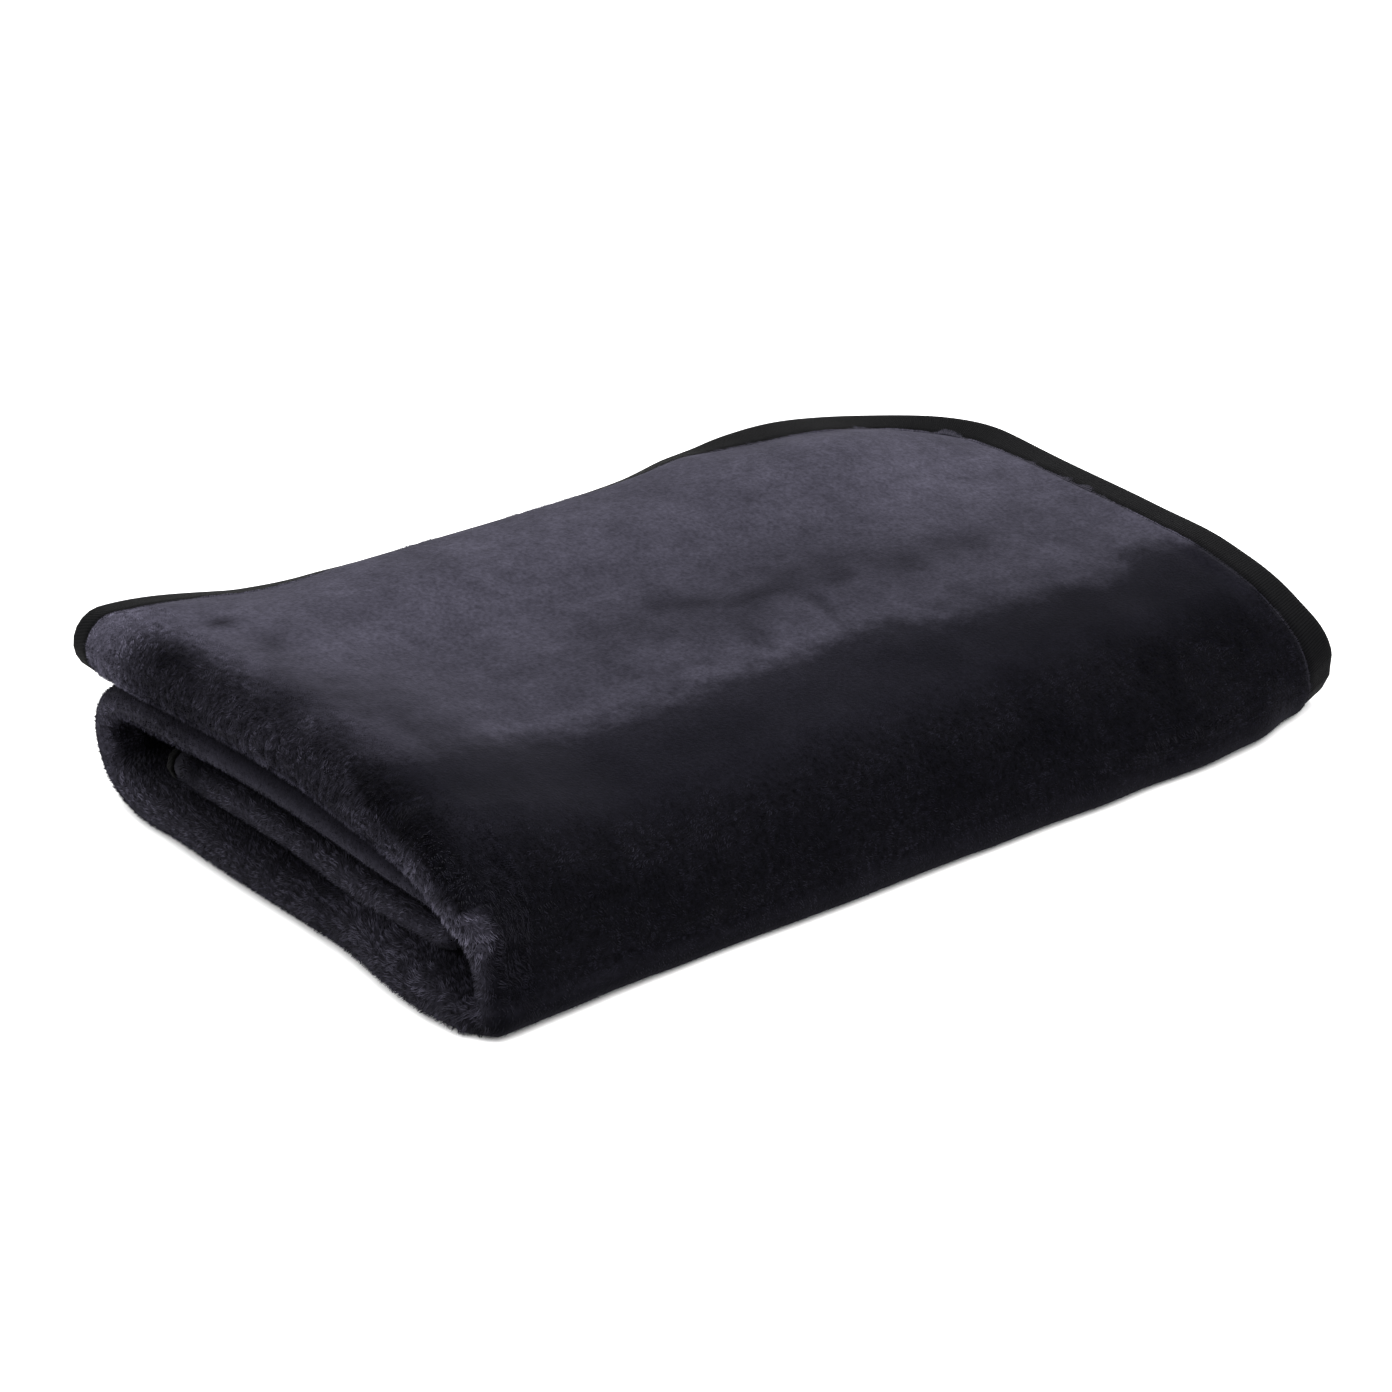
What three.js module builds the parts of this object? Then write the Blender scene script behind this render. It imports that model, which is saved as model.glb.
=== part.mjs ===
import * as THREE from 'three';

// A plush fleece pet blanket, folded once across its length and then rolled over itself in doubled layers.
// Sizes are in millimetres. The folds are laid out in a corner frame: x runs from the folded near end to the
// open far end, y from the front to the back, and z up from the surface that the blanket lies on.
// Flat, the cloth is measured by u, along its length, and v, across it from the free long edge on top.

const fleece = {
  length: 968, // flat length, from the outer short edge round the lengthways fold to the inner short edge
  thickness: 5.5, // from pile tip to pile tip
  boundThickness: 2.6, // where the binding presses the pile down
  cornerRadius: 66,
  farEnd: 480, // x of the outer short edge when folded
};

const tape = {
  width: 12.5, // on each face, so 25 mm tape folded over the edge
  thickness: 1.1,
  clearance: 0.35, // between the tape and the cloth inside it
  outside: 1.4, // how far the tape's fold stands past the cloth's edge
};

// One row for each place where the doubled cloth bends, from the free edge on top, over the front, under,
// round the back and to the flap inside. Each section gives y and z of the middle of the doubled cloth and
// half of its thickness: near is at the folded end, mid from 105 mm on, far at the open end.
// nose is the x at which the lengthways fold begins to turn.
const rows = [
  { place: 'free edge', near: [267, 77.0, 15.5], mid: [268, 70.0, 7.6], far: [268, 66.5, 7.0], nose: -1 },
  { place: 'top back', near: [228, 77.6, 15.6], mid: [228, 75.0, 10.8], far: [228, 69.8, 8.2], nose: -1 },
  { place: 'top middle', near: [158, 77.8, 15.4], mid: [158, 70.0, 9.0], far: [160, 65.8, 8.0], nose: -1 },
  { place: 'top front', near: [98, 77.4, 15.2], mid: [98, 65.4, 8.6], far: [100, 61.2, 7.6], nose: -1 },
  { place: 'shoulder', near: [52, 71.5, 14.8], mid: [52, 59.4, 8.2], far: [54, 55.8, 7.2], nose: -2 },
  { place: 'front high', near: [16, 61.0, 13.2], mid: [13, 46.6, 7.8], far: [15, 41.2, 7.2], nose: -3 },
  { place: 'brow', near: [4, 49.6, 11.0], mid: [1, 38.0, 7.6], far: [2, 31.6, 7.2], nose: -2 },
  { place: 'front', near: [1.5, 33.5, 7.8], mid: [-4.0, 27.0, 7.4], far: [-3.0, 22.5, 7.0], nose: 2 },
  { place: 'front low', near: [0, 19.4, 7.4], mid: [-4.8, 17.4, 7.2], far: [-2.6, 16.4, 7.0], nose: 3 },
  { place: 'foot', near: [0.8, 10.8, 7.0], mid: [-2.4, 10.2, 7.0], far: [0.8, 10.0, 6.8], nose: 4 },
  { place: 'foot back', near: [8, 7.6, 7.4], mid: [5.2, 7.4, 7.2], far: [8.8, 7.4, 7.0], nose: 4 },
  { place: 'bottom front', near: [28, 10.4, 10.4], mid: [22, 7.7, 7.8], far: [22, 7.4, 7.4], nose: 4 },
  { place: 'bottom middle', near: [120, 12.2, 12.2], mid: [120, 8.4, 8.5], far: [120, 7.9, 8.1], nose: 4 },
  { place: 'bottom back', near: [212, 11.8, 11.4], mid: [212, 8.6, 8.5], far: [212, 8.0, 8.0], nose: 4 },
  { place: 'turn low', near: [252, 10.6, 9.4], mid: [244, 9.6, 8.2], far: [241, 8.8, 7.8], nose: 4 },
  { place: 'turn low side', near: [268.5, 17.0, 8.6], mid: [259, 15.6, 8.2], far: [255, 14.6, 7.8], nose: 4 },
  { place: 'turn', near: [274, 30.0, 8.0], mid: [264, 28.0, 8.0], far: [259, 26.5, 7.8], nose: 3.5 },
  { place: 'turn high side', near: [269.5, 42.5, 8.0], mid: [259, 41.4, 8.0], far: [254, 39.0, 7.8], nose: 3 },
  { place: 'turn high', near: [257, 50.2, 8.2], mid: [246, 48.8, 8.2], far: [241, 46.4, 7.8], nose: 2 },
  { place: 'middle back', near: [226, 52.8, 7.9], mid: [220, 51.8, 8.2], far: [218, 50.0, 8.0], nose: 1.5 },
  { place: 'middle', near: [140, 52.4, 7.9], mid: [140, 48.6, 8.2], far: [140, 46.2, 8.0], nose: 1.5 },
  { place: 'middle front', near: [52, 48.7, 7.0], mid: [66, 42.6, 7.0], far: [68, 40.0, 6.9], nose: 2 },
  { place: 'inner turn high', near: [31, 44.8, 5.9], mid: [50, 41.2, 6.3], far: [54, 38.2, 6.1], nose: 3 },
  { place: 'inner turn high side', near: [25.8, 42.6, 5.8], mid: [43.2, 38.4, 6.2], far: [47.9, 35.7, 6.0], nose: 4 },
  { place: 'inner turn', near: [23.6, 37.4, 5.8], mid: [40.4, 31.8, 6.2], far: [45.4, 29.7, 6.0], nose: 4 },
  { place: 'inner turn low side', near: [25.8, 32.4, 5.8], mid: [43.2, 25.8, 6.2], far: [47.9, 24.3, 6.0], nose: 4 },
  { place: 'inner turn low', near: [31, 30.8, 5.9], mid: [50, 23.6, 6.3], far: [54, 22.4, 6.1], nose: 5 },
  { place: 'flap front', near: [52, 33.0, 6.7], mid: [66, 24.4, 6.8], far: [68, 23.2, 6.7], nose: 5 },
  { place: 'flap middle', near: [140, 34.8, 8.0], mid: [140, 27.0, 8.0], far: [140, 25.8, 7.8], nose: 5 },
  { place: 'flap end', near: [216, 34.4, 7.8], mid: [222, 28.6, 8.0], far: [222, 27.4, 7.8], nose: 6 },
];

// The loft is highest at the folded end and settles over nearSettles; the open end begins at farBegins.
const nearSettles = 105;
const farBegins = 300;
const farSettles = 170;

// The free edge on top lifts again before the far corner.
const lift = { height: 10, x: 372, spread: 66, rowsWide: 2.6, shareOfHalf: 0.1 };

// The front bulges outwards low down, towards the open end.
const bow = { depth: 12, x: 372, spread: 58, fromRow: 5.5, toRow: 11.5, rowsToFull: 2 };

// x of the inner short edge. It stops short of the outer one, most of all under the top, where the fold
// at the near end takes up more cloth. It changes over a stretch of the cloth's width.
const innerEdge = { underTop: 457, elsewhere: 474, from: 150, to: 340 };

// How many mesh steps each stretch of the cloth gets, across it and along one of its two plies.
const across = [
  { to: 'shoulder', steps: 7 },
  { to: 'bottom front', steps: 11 },
  { to: 'turn low', steps: 7 },
  { to: 'middle back', steps: 8 },
  { to: 'middle front', steps: 5 },
  { to: 'flap front', steps: 9 },
];
const stepsOnFlap = 4;
const stepsInCorner = 3;
const stepsOnMiddle = 5;
const stepsOnLoft = 4;
const stepsRoundNose = 6;

// Distances in from the cloth's edge, and the cloth's half thickness there.
const rim = [
  { inset: 18, half: fleece.thickness / 2 },
  { inset: 14.6, half: 2.5 },
  { inset: 13, half: fleece.boundThickness / 2 },
  { inset: 0, half: fleece.boundThickness / 2 },
];
const rimWidth = rim[0].inset;
const tapeSeat = rim[2].inset;
const innerRadius = fleece.cornerRadius - rimWidth;

const lastRow = rows.length - 1;

function ease(t) {
  return THREE.MathUtils.smoothstep(t, 0, 1);
}

// Spacing of the rows, along the middle section.
const chords = rows.slice(1).map(({ mid }, n) => {
  const before = rows[n].mid;
  return Math.hypot(mid[0] - before[0], mid[1] - before[1]);
});

// A column's slope at a row, weighted towards the nearer neighbour.
function slopeAt(values, n) {
  if (n === 0) return (values[1] - values[0]) / chords[0];
  const before = (values[n] - values[n - 1]) / chords[n - 1];
  if (n === lastRow) return before;
  const after = (values[n + 1] - values[n]) / chords[n];
  return (before * chords[n] + after * chords[n - 1]) / (chords[n - 1] + chords[n]);
}

// A smooth curve through one column of the rows, at a row number that need not be whole. The slopes are
// carried a little further than the chords so that the turns come out round.
const roundness = 1.1;

function through(values, at) {
  const n = Math.min(Math.floor(at), lastRow - 1);
  const t = at - n;
  const rise = values[n + 1] - values[n];
  const leave = slopeAt(values, n) * chords[n] * roundness - rise;
  const arrive = rise - slopeAt(values, n + 1) * chords[n] * roundness;
  return values[n] + rise * t + t * (1 - t) * (leave * (1 - t) + arrive * t);
}

function column(section, index) {
  return rows.map((row) => row[section][index]);
}

const sections = {};
for (const section of ['near', 'mid', 'far']) {
  sections[section] = { y: column(section, 0), z: column(section, 1), half: column(section, 2) };
}
const noses = rows.map((row) => row.nose);

function sectionAt(section, at) {
  const table = sections[section];
  return [through(table.y, at), through(table.z, at), through(table.half, at)];
}

// Distance across the cloth of each row, measured along the middle section.
const fineSteps = 40;
const measured = [0];
for (let n = 1; n <= lastRow * fineSteps; n += 1) {
  const before = sectionAt('mid', (n - 1) / fineSteps);
  const after = sectionAt('mid', n / fineSteps);
  measured.push(measured[n - 1] + Math.hypot(after[0] - before[0], after[1] - before[1]));
}
const clothWidth = measured[measured.length - 1];

function rowAt(v) {
  let n = measured.findIndex((distance) => distance >= v);
  n = n < 0 ? measured.length - 1 : Math.max(n, 1);
  const t = (v - measured[n - 1]) / (measured[n] - measured[n - 1]);
  return THREE.MathUtils.clamp((n - 1 + t) / fineSteps, 0, lastRow);
}

function distanceTo(place) {
  return measured[rows.findIndex((row) => row.place === place) * fineSteps];
}

// How much of a swell is felt at one x.
function swell(x, place) {
  return Math.exp(-(((x - place.x) / place.spread) ** 2));
}

// The doubled cloth at one row and one x: y, z and half thickness.
function doubled(at, x) {
  const nose = through(noses, at);
  const settled = ease((x - nose) / nearSettles);
  const open = ease((x - farBegins) / farSettles);
  const near = sectionAt('near', at);
  const mid = sectionAt('mid', at);
  const far = sectionAt('far', at);
  const blend = near.map((value, n) => THREE.MathUtils.lerp(
    THREE.MathUtils.lerp(value, mid[n], settled), far[n], open));
  const raised = lift.height * swell(x, lift) * ease(1 - at / lift.rowsWide);
  const bowed = ease((at - bow.fromRow) / bow.rowsToFull) * ease((bow.toRow - at) / bow.rowsToFull);
  blend[0] -= bow.depth * swell(x, bow) * bowed;
  blend[1] += raised;
  blend[2] += lift.shareOfHalf * raised;
  return blend;
}

// The lengthways fold at one row: where it starts, how far it bulges and how long its half round is.
function noseAt(at) {
  const start = through(noses, at);
  const radius = through(sections.near.half, at) - fleece.thickness / 2;
  return { start, radius, arc: Math.PI * radius };
}

function innerEdgeAt(v) {
  const along = ease((v - innerEdge.from) / (innerEdge.to - innerEdge.from));
  return THREE.MathUtils.lerp(innerEdge.underTop, innerEdge.elsewhere, along);
}

// The middle of the cloth's thickness at flat u and v, in the corner frame.
const rowStep = 0.01;

function fold(u, v) {
  const at = rowAt(v);
  const nose = noseAt(at);
  const ply = fleece.farEnd - nose.start;
  const angle = THREE.MathUtils.clamp((u - ply) / nose.arc, 0, 1) * Math.PI;
  let x = nose.start - nose.radius * Math.sin(angle);
  if (u < ply) x = fleece.farEnd - u;
  if (u > ply + nose.arc) {
    const along = (u - ply - nose.arc) / (fleece.length - ply - nose.arc);
    x = THREE.MathUtils.lerp(nose.start, innerEdgeAt(v), along);
  }
  const [y, z, half] = doubled(at, x);
  const before = doubled(Math.max(at - rowStep, 0), x);
  const after = doubled(Math.min(at + rowStep, lastRow), x);
  const away = new THREE.Vector2(after[1] - before[1], before[0] - after[0]).normalize();
  const out = (half - fleece.thickness / 2) * Math.cos(angle);
  return new THREE.Vector3(x, y + away.x * out, z + away.y * out);
}

// The cloth's outward normal, from its slope over a few millimetres.
const reach = 1.5;

function normalAt(u, v) {
  const edge = (value, most) => THREE.MathUtils.clamp(value, 0, most);
  const length = fleece.length;
  const alongU = fold(edge(u + reach, length), v).sub(fold(edge(u - reach, length), v));
  const alongV = fold(u, edge(v + reach, clothWidth)).sub(fold(u, edge(v - reach, clothWidth)));
  return alongV.cross(alongU).normalize();
}

// Stations across the cloth, between the two rims.
function stationsAcross() {
  const stations = [];
  for (let n = 0; n < stepsInCorner; n += 1) stations.push(rimWidth + innerRadius * n / stepsInCorner);
  let from = rimWidth + innerRadius;
  const flapCorner = clothWidth - from;
  const stretches = across.map((stretch) => ({ end: distanceTo(stretch.to), steps: stretch.steps }));
  stretches.push({ end: flapCorner, steps: stepsOnFlap });
  stretches.push({ end: clothWidth - rimWidth, steps: stepsInCorner });
  for (const { end, steps } of stretches) {
    for (let n = 0; n < steps; n += 1) stations.push(THREE.MathUtils.lerp(from, end, n / steps));
    from = end;
  }
  stations.push(from);
  return stations;
}

// Stations along the cloth at one v, denser where the loft swells and round the lengthways fold.
function stationsAlong(v) {
  const nose = noseAt(rowAt(v));
  const ply = fleece.farEnd - nose.start;
  const loft = ply - nearSettles;
  const innerEnd = fleece.length - rimWidth;
  const innerLoft = ply + nose.arc + nearSettles;
  const stretches = [
    { end: rimWidth + innerRadius, steps: stepsInCorner },
    { end: loft, steps: stepsOnMiddle },
    { end: ply, steps: stepsOnLoft },
    { end: ply + nose.arc, steps: stepsRoundNose },
    { end: innerLoft, steps: stepsOnLoft },
    { end: innerEnd - innerRadius, steps: stepsOnMiddle },
    { end: innerEnd, steps: stepsInCorner },
  ];
  const stations = [rimWidth];
  let from = rimWidth;
  for (const { end, steps } of stretches) {
    for (let n = 1; n <= steps; n += 1) stations.push(THREE.MathUtils.lerp(from, end, n / steps));
    from = end;
  }
  return stations;
}

// Bends the square grid's corners round, and says which way is out from there.
function roundedPlace(u, v) {
  const farU = u > fleece.length / 2;
  const farV = v > clothWidth / 2;
  const inU = (farU ? fleece.length - u : u) - rimWidth;
  const inV = (farV ? clothWidth - v : v) - rimWidth;
  const signU = farU ? 1 : -1;
  const signV = farV ? 1 : -1;
  if (inU >= innerRadius || inV >= innerRadius) {
    const out = new THREE.Vector2(inU <= inV ? signU : 0, inU <= inV ? 0 : signV);
    return { u, v, out };
  }
  const a = 1 - inU / innerRadius;
  const b = 1 - inV / innerRadius;
  const roundA = a * Math.sqrt(1 - b * b / 2);
  const roundB = b * Math.sqrt(1 - a * a / 2);
  const placeU = rimWidth + innerRadius * (1 - roundA);
  const placeV = rimWidth + innerRadius * (1 - roundB);
  const out = new THREE.Vector2(signU * roundA, signV * roundB).normalize();
  return { u: farU ? fleece.length - placeU : placeU, v: farV ? clothWidth - placeV : placeV, out };
}

const grid = stationsAcross().map((v) => stationsAlong(v).map((u) => roundedPlace(u, v)));
const countV = grid.length;
const countU = grid[0].length;

// The grid's outer stations, once round.
const border = [];
for (let i = 0; i < countU - 1; i += 1) border.push([0, i]);
for (let j = 0; j < countV - 1; j += 1) border.push([j, countU - 1]);
for (let i = countU - 1; i > 0; i -= 1) border.push([countV - 1, i]);
for (let j = countV - 1; j > 0; j -= 1) border.push([j, 0]);

// At each outer station the rim is straight across the binding: its edge, its seat and one normal.
const rimFrames = border.map(([j, i]) => {
  const place = grid[j][i];
  const flatAt = (inset) => [
    place.u + place.out.x * (rimWidth - inset),
    place.v + place.out.y * (rimWidth - inset),
  ];
  return {
    flatAt,
    edge: fold(...flatAt(0)),
    seat: fold(...flatAt(tapeSeat)),
    normal: normalAt(...flatAt(tapeSeat / 2)),
  };
});

// A point of the rim at an inset from the edge, raised from the middle of the cloth.
function rimPoint(frame, inset, raise) {
  return frame.edge.clone().lerp(frame.seat, inset / tapeSeat).addScaledVector(frame.normal, raise);
}

function geometryOf(points, faces) {
  const geometry = new THREE.BufferGeometry();
  const flat = points.flatMap((point) => [point.x, point.y, Math.max(point.z, 0)]);
  geometry.setAttribute('position', new THREE.Float32BufferAttribute(flat, 3));
  geometry.setIndex(faces);
  geometry.computeVertexNormals();
  return geometry;
}

function quad(faces, a, b, c, d) {
  faces.push(a, b, c, a, c, d);
}

// The plush cloth, one closed solid: an outer face, an inner face and the rim between them.
function fleeceGeometry() {
  const points = [];
  const faces = [];
  const sides = [1, -1];
  const numberOf = (side, j, i) => (side > 0 ? 0 : countV * countU) + j * countU + i;
  for (const side of sides) {
    for (const line of grid) {
      for (const place of line) {
        const lifted = fold(place.u, place.v);
        points.push(lifted.addScaledVector(normalAt(place.u, place.v), side * fleece.thickness / 2));
      }
    }
  }
  for (let j = 0; j < countV - 1; j += 1) {
    for (let i = 0; i < countU - 1; i += 1) {
      quad(faces, numberOf(1, j, i), numberOf(1, j + 1, i), numberOf(1, j + 1, i + 1), numberOf(1, j, i + 1));
      quad(faces, numberOf(-1, j, i), numberOf(-1, j, i + 1), numberOf(-1, j + 1, i + 1), numberOf(-1, j + 1, i));
    }
  }
  // The rim's rings, from the outer face round the edge to the inner face.
  const rings = [border.map(([j, i]) => numberOf(1, j, i))];
  const levels = [];
  for (const { inset, half } of rim.slice(1)) levels.push({ inset, raise: half });
  for (const { inset, half } of rim.slice(1).reverse()) levels.push({ inset, raise: -half });
  for (const { inset, raise } of levels) {
    rings.push(rimFrames.map((frame) => {
      let point = rimPoint(frame, inset, raise);
      if (inset > tapeSeat) {
        point = fold(...frame.flatAt(inset)).addScaledVector(normalAt(...frame.flatAt(inset)), raise);
      }
      points.push(point);
      return points.length - 1;
    }));
  }
  rings.push(border.map(([j, i]) => numberOf(-1, j, i)));
  for (let ring = 0; ring < rings.length - 1; ring += 1) {
    for (let n = 0; n < border.length; n += 1) {
      const next = (n + 1) % border.length;
      quad(faces, rings[ring][n], rings[ring][next], rings[ring + 1][next], rings[ring + 1][n]);
    }
  }
  return geometryOf(points, faces);
}

// The binding, one closed loop of tape folded over the cloth's edge all the way round.
function bindingGeometry() {
  const under = fleece.boundThickness / 2 + tape.clearance;
  const over = under + tape.thickness;
  const channel = [
    { inset: tape.width, raise: over },
    { inset: 0, raise: over },
    { inset: -tape.outside, raise: over / 2 },
    { inset: -tape.outside, raise: -over / 2 },
    { inset: 0, raise: -over },
    { inset: tape.width, raise: -over },
    { inset: tape.width, raise: -under, alongCloth: true },
    { inset: -tape.clearance, raise: -under },
    { inset: -tape.clearance, raise: under, alongCloth: true },
    { inset: tape.width, raise: under, closes: true },
  ];
  const points = [];
  const faces = [];
  for (const frame of rimFrames) {
    for (const { inset, raise } of channel) points.push(rimPoint(frame, inset, raise));
  }
  const corners = channel.length;
  for (let n = 0; n < rimFrames.length; n += 1) {
    const here = n * corners;
    const there = ((n + 1) % rimFrames.length) * corners;
    for (let c = 0; c < corners; c += 1) {
      const next = (c + 1) % corners;
      // The faces next to the cloth are cut along the same diagonal as the cloth's.
      const { alongCloth, closes } = channel[c];
      if (alongCloth || closes) quad(faces, here + next, here + c, there + c, there + next);
      else quad(faces, here + c, there + c, there + next, here + next);
    }
  }
  return geometryOf(points, faces);
}

const plush = new THREE.MeshStandardMaterial({ color: 0x2e2c36, roughness: 0.95, metalness: 0 });
const twill = new THREE.MeshStandardMaterial({ color: 0x17171a, roughness: 0.8, metalness: 0 });

const cloth = new THREE.Mesh(fleeceGeometry(), plush);
cloth.name = 'fleece_cloth';
const edging = new THREE.Mesh(bindingGeometry(), twill);
edging.name = 'edge_binding';

const blanket = new THREE.Group();
blanket.add(cloth, edging);

// The origin is the middle of the box round the folded blanket, on the surface it lies on.
const box = new THREE.Box3().setFromObject(blanket);
const middle = box.getCenter(new THREE.Vector3());
blanket.position.set(-middle.x, -middle.y, -box.min.z);

export default blanket;
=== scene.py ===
import math

import bmesh
import bpy
import numpy as np
from mathutils import Matrix, Vector


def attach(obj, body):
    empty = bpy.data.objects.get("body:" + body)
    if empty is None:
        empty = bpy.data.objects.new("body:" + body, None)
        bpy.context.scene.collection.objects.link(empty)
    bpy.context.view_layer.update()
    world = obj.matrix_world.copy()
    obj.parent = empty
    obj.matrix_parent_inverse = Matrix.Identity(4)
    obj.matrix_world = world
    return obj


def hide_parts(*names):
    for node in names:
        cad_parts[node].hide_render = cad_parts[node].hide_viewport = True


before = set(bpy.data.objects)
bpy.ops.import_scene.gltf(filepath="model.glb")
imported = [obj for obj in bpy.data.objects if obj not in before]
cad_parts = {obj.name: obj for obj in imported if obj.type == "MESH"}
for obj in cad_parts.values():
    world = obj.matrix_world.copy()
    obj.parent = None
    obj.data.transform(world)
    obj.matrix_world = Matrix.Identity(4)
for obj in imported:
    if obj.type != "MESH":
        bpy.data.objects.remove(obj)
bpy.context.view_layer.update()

# Camera
# It looks down on the blanket's folded end and its long front from about a metre and a half away, through a
# long lens that keeps the near and the far end nearly the same size.
camera = bpy.data.objects.new("camera", bpy.data.cameras.new("camera"))
camera.data.sensor_width = 36
camera.data.lens = 87.05
camera.data.clip_end = 40
camera_right = Vector((0.76062, -0.64919, 0.0))
camera_back = Vector((-0.59299, -0.69477, 0.40706))
camera_place = Matrix((camera_right, camera_back.cross(camera_right), camera_back)).transposed().to_4x4()
camera_place.translation = (-0.9000, -1.0342, 0.6410)
camera.matrix_world = camera_place
bpy.context.scene.collection.objects.link(camera)
bpy.context.scene.camera = camera

# Plush cloth
# One nearly square piece of double-faced plush fleece with rounded corners. It is folded in half across its
# length, and the doubled cloth is then folded over itself: top, front, underside, back, middle and a flap.
# The folds are laid out in millimetres from their own corner: x from the folded end to the open end, y from
# the front to the back, z up. Flat, the cloth is measured by u along its length and v across it.
MM = 0.001
folds_corner = (-232.02, -130.24)
cloth_length = 968.0
pile_to_pile = 5.5
corner_radius = 66.0
open_end = 480.0
tape_width = 12.5
# The section at the folded end settles into the middle one over this length, and that one into the open end's
# between these two x.
near_settles = 105.0
far_settles = (300.0, 470.0)
# The inner layer ends short of the open end, and most of all under the top: its x, and where in v that
# changes.
inner_edge = {"under top": 457.0, "elsewhere": 474.0, "changes": (150.0, 340.0)}

# Each bend of the doubled cloth: y, z and half its thickness at the folded end, in the middle and at the
# open end, then the x at which the lengthways fold starts.
bends = (
    ("free edge", (267, 79.4, 14.2), (268, 70.6, 7.6), (268, 67.3, 7.0), -2.3),
    ("top back", (228, 80.2, 14.0), (228, 75.6, 10.8), (228, 70.6, 8.2), -2.6),
    ("top middle", (158, 80.9, 12.5), (158, 70.2, 9.0), (160, 66.0, 8.0), -3.6),
    ("top front", (98, 79.4, 13.2), (98, 65.4, 8.6), (100, 61.2, 7.6), -3),
    ("shoulder", (52, 73.5, 12.6), (52, 59.4, 8.2), (54, 55.8, 7.2), -4),
    ("front high", (15.4, 62.2, 11.6), (13, 46.6, 7.8), (15, 41.2, 7.2), -4.4),
    ("brow", (4, 49.6, 11.0), (1, 38.0, 7.6), (2, 31.6, 7.2), -2),
    ("front", (1.5, 33.5, 7.8), (-4.0, 27.0, 7.4), (-3.0, 22.5, 7.0), 2),
    ("front low", (-1.2, 19.4, 7.4), (-7.0, 17.4, 7.2), (-3.2, 16.4, 7.0), 2.5),
    ("foot", (-3.2, 8.9, 8.2), (-6.8, 8.4, 8.2), (-0.8, 8.2, 8.0), 1),
    ("foot back", (5.6, 7.6, 7.4), (2.4, 7.4, 7.2), (8.0, 7.4, 7.0), 2.5),
    ("bottom front", (28, 10.4, 10.4), (22, 7.7, 7.8), (22, 7.4, 7.4), 4),
    ("bottom middle", (120, 12.2, 12.2), (120, 8.4, 8.5), (120, 7.9, 8.1), 3.4),
    ("bottom back", (212, 11.8, 11.4), (212, 8.6, 8.5), (212, 8.0, 8.0), 4),
    ("turn low", (252, 10.6, 9.4), (244, 9.6, 8.2), (241, 8.8, 7.8), 4),
    ("turn low side", (269.6, 16.2, 7.2), (259, 15.6, 8.2), (255, 14.6, 7.8), 4),
    ("turn", (275.4, 30.0, 6.5), (264, 28.0, 8.0), (259, 26.5, 7.8), 3.5),
    ("turn high side", (270.2, 43.2, 7.0), (259, 41.4, 8.0), (254, 39.0, 7.8), 3),
    ("turn high", (257.4, 51.4, 7.8), (246, 48.8, 8.2), (241, 46.4, 7.8), 2),
    ("middle back", (226, 55.0, 8.7), (220, 51.8, 8.2), (218, 50.0, 8.0), 1.5),
    ("middle", (140, 57.0, 8.9), (140, 48.6, 8.2), (140, 46.2, 8.0), 1.5),
    ("middle front", (52, 49.6, 7.8), (66, 42.6, 7.0), (68, 40.0, 6.9), 2),
    ("inner turn high", (31, 44.8, 5.9), (50, 41.2, 6.3), (54, 38.2, 6.1), 3),
    ("inner turn high side", (25.8, 42.6, 5.8), (43.2, 38.4, 6.2), (47.9, 35.7, 6.0), 4),
    ("inner turn", (23.6, 37.4, 5.8), (40.4, 31.8, 6.2), (45.4, 29.7, 6.0), 4),
    ("inner turn low side", (25.8, 32.4, 5.8), (43.2, 25.8, 6.2), (47.9, 24.3, 6.0), 4),
    ("inner turn low", (31, 30.0, 6.6), (50, 23.6, 6.3), (54, 22.4, 6.1), 5),
    ("flap front", (52, 31.1, 8.5), (66, 24.4, 6.8), (68, 23.2, 6.7), 5),
    ("flap middle", (140, 34.8, 8.0), (140, 27.0, 8.0), (140, 25.8, 7.8), 5),
    ("flap end", (222, 34.4, 7.8), (222, 28.6, 8.0), (222, 27.4, 7.8), 6),
)
sections = {
    name: np.array([bend[n] for bend in bends], float) for n, name in enumerate(("near", "middle", "far"), 1)
}
fold_starts = np.array([[bend[4]] for bend in bends], float)
last_bend = len(bends) - 1
bend_spacing = np.linalg.norm(np.diff(sections["middle"][:, :2], axis=0), axis=1)[:, None]
roundness = 1.1
points_a_bend = 40


def ease(t):
    """A soft step from 0 to 1."""
    t = np.clip(t, 0, 1)
    return t * t * (3 - 2 * t)


def ramp(value, start, full):
    """A soft step from 0 at one value to 1 at another, which may be the lower of the two."""
    return ease((value - start) / (full - start))


def mound(value, middle, reach):
    """A soft bump, 1 in its middle."""
    return np.exp(-(((value - middle) / reach) ** 2))


def through(table, at):
    """A smooth curve through the rows of a table, at row numbers that need not be whole."""
    rise = np.diff(table, axis=0)
    chord = rise / bend_spacing
    weighted = chord[:-1] * bend_spacing[1:] + chord[1:] * bend_spacing[:-1]
    slope = np.vstack([chord[:1], weighted / (bend_spacing[1:] + bend_spacing[:-1]), chord[-1:]])
    n = np.clip(np.floor(at).astype(int), 0, last_bend - 1)
    t = (at - n)[..., None]
    leave = slope[n] * bend_spacing[n] * roundness - rise[n]
    arrive = rise[n] - slope[n + 1] * bend_spacing[n] * roundness
    return table[n] + rise[n] * t + t * (1 - t) * (leave * (1 - t) + arrive * t)


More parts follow.
